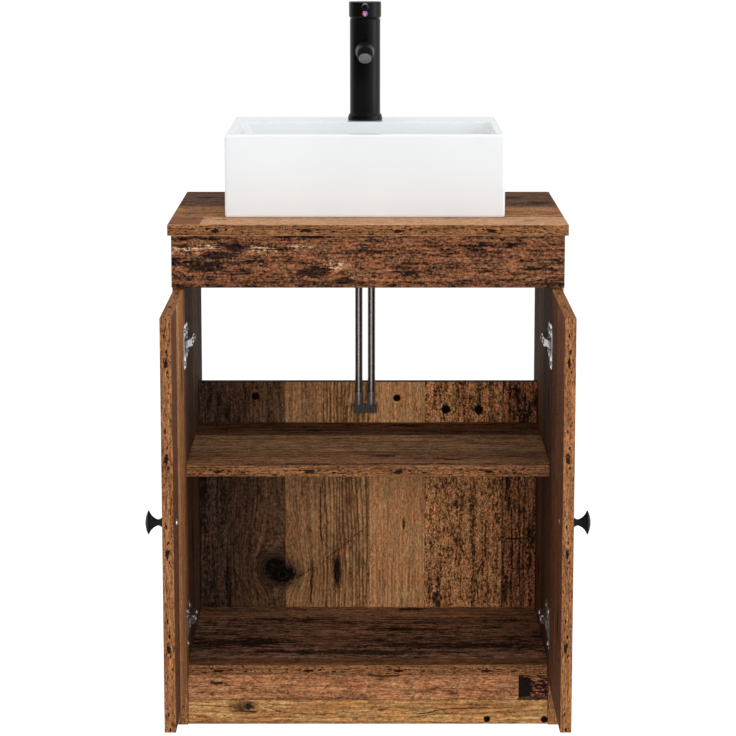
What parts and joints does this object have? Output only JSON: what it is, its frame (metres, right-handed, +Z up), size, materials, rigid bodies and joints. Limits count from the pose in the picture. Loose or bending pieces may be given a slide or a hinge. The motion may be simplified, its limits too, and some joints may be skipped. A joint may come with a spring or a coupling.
{
  "type": "vanity cabinet",
  "caption": "Bathroom vanity in reclaimed wood with hinged doors, a shelf and an open service back, topped by a rectangular ceramic basin and a black single-lever mixer tap.",
  "frame": {"origin": "on the floor, at the middle of the plinth's lower edge", "axes": "+Z up, front towards -Y, rear edges and wall towards +Y, +X to the right seen from the front"},
  "size_m": [0.6174, 0.717, 1.0612],
  "materials": {
    "top_wood": "reclaimed-wood board, matt, worn and streaked",
    "apron_wood": "reclaimed-wood board, matt, dark and weathered",
    "carcass_wood": "reclaimed-wood board, matt",
    "back_wood": "reclaimed-wood board, matt, upright planks",
    "plinth_wood": "reclaimed-wood board, matt, level planks",
    "door_wood": "reclaimed-wood board, matt, striped",
    "dowel_wood": "plain beech",
    "nickel": "nickel plated, satin",
    "zinc_steel": "zinc plated",
    "black_metal": "matt black",
    "ceramic_white": "white gloss glaze",
    "chrome_waste": "polished",
    "black_rubber": "matt",
    "aerator_grey": "fine mesh insert",
    "cartridge_plastic": "moulded",
    "brass": "plain turned",
    "hose_braid": "dark braided sleeve",
    "hose_fitting": "dark plated",
    "hot_red": "gloss",
    "cold_blue": "gloss"
  },
  "bodies": {
    "carcass": {"countertop": "top_wood", "front_apron": "apron_wood", "left_side_panel": "carcass_wood", "right_side_panel": "carcass_wood", "bottom_panel": "carcass_wood", "shelf": "carcass_wood", "rear_rail": "carcass_wood", "back_panel": "back_wood", "plinth": "plinth_wood", "carcass_dowels": "dowel_wood", "left_hinge_plates": "nickel", "right_hinge_plates": "nickel", "left_hinge_arms": "nickel", "right_hinge_arms": "nickel", "hinge_plate_screws": "nickel", "hinge_arm_screws": "nickel", "top_brackets": "zinc_steel", "top_bracket_screws": "zinc_steel", "tap_clamp_plate": "zinc_steel", "tap_stud": "zinc_steel", "tap_stud_nut": "zinc_steel", "tap_body": "black_metal", "tap_spout": "black_metal", "basin": "ceramic_white", "waste_body": "chrome_waste", "waste_seal": "black_rubber", "tap_gasket": "black_rubber", "tap_clamp_rubber": "black_rubber", "tap_aerator": "aerator_grey", "tap_cartridge": "cartridge_plastic", "waste_nut": "cartridge_plastic", "tap_cartridge_nut": "brass", "hose_tails": "brass", "hot_hose": "hose_braid", "cold_hose": "hose_braid", "hot_hose_ferrule": "hose_fitting", "cold_hose_ferrule": "hose_fitting", "hot_hose_nut": "hose_fitting", "cold_hose_nut": "hose_fitting"},
    "left_door": {"left_door": "door_wood", "left_hinge_cups": "nickel", "left_hinge_pins": "nickel", "left_cup_screws": "nickel", "left_knob": "black_metal", "left_knob_screw": "nickel"},
    "right_door": {"right_door": "door_wood", "right_hinge_cups": "nickel", "right_hinge_pins": "nickel", "right_cup_screws": "nickel", "right_knob": "black_metal", "right_knob_screw": "nickel"},
    "waste_plug": {"waste_plug": "chrome_waste"},
    "tap_swivel": {"tap_lever_dome": "black_metal", "tap_pivot_pin": "chrome_waste"},
    "tap_head": {"tap_head": "black_metal", "tap_lever": "black_metal", "tap_hot_mark": "hot_red", "tap_cold_mark": "cold_blue"}
  },
  "joints": [
    {"name": "left_door_hinge", "type": "hinge", "parent": "carcass", "child": "left_door", "pos_m": [-0.2765, -0.025, 0.3685], "axis": [0, 0, -1], "range_deg": [-90, 10]},
    {"name": "right_door_hinge", "type": "hinge", "parent": "carcass", "child": "right_door", "pos_m": [0.2765, -0.025, 0.3685], "axis": [0, 0, 1], "range_deg": [-90, 10]},
    {"name": "tap_temperature", "type": "hinge", "parent": "carcass", "child": "tap_swivel", "pos_m": [-0.0045, 0.322, 1.0411], "axis": [0, 0, 1], "range_deg": [-50, 50]},
    {"name": "tap_flow", "type": "hinge", "parent": "tap_swivel", "child": "tap_head", "pos_m": [-0.0045, 0.322, 1.0411], "axis": [-1, 0, 0], "range_deg": [0, 20]},
    {"name": "plug_travel", "type": "slide", "parent": "carcass", "child": "waste_plug", "axis": [0, 0, 1], "range_m": [0, 0.009]}
  ]
}
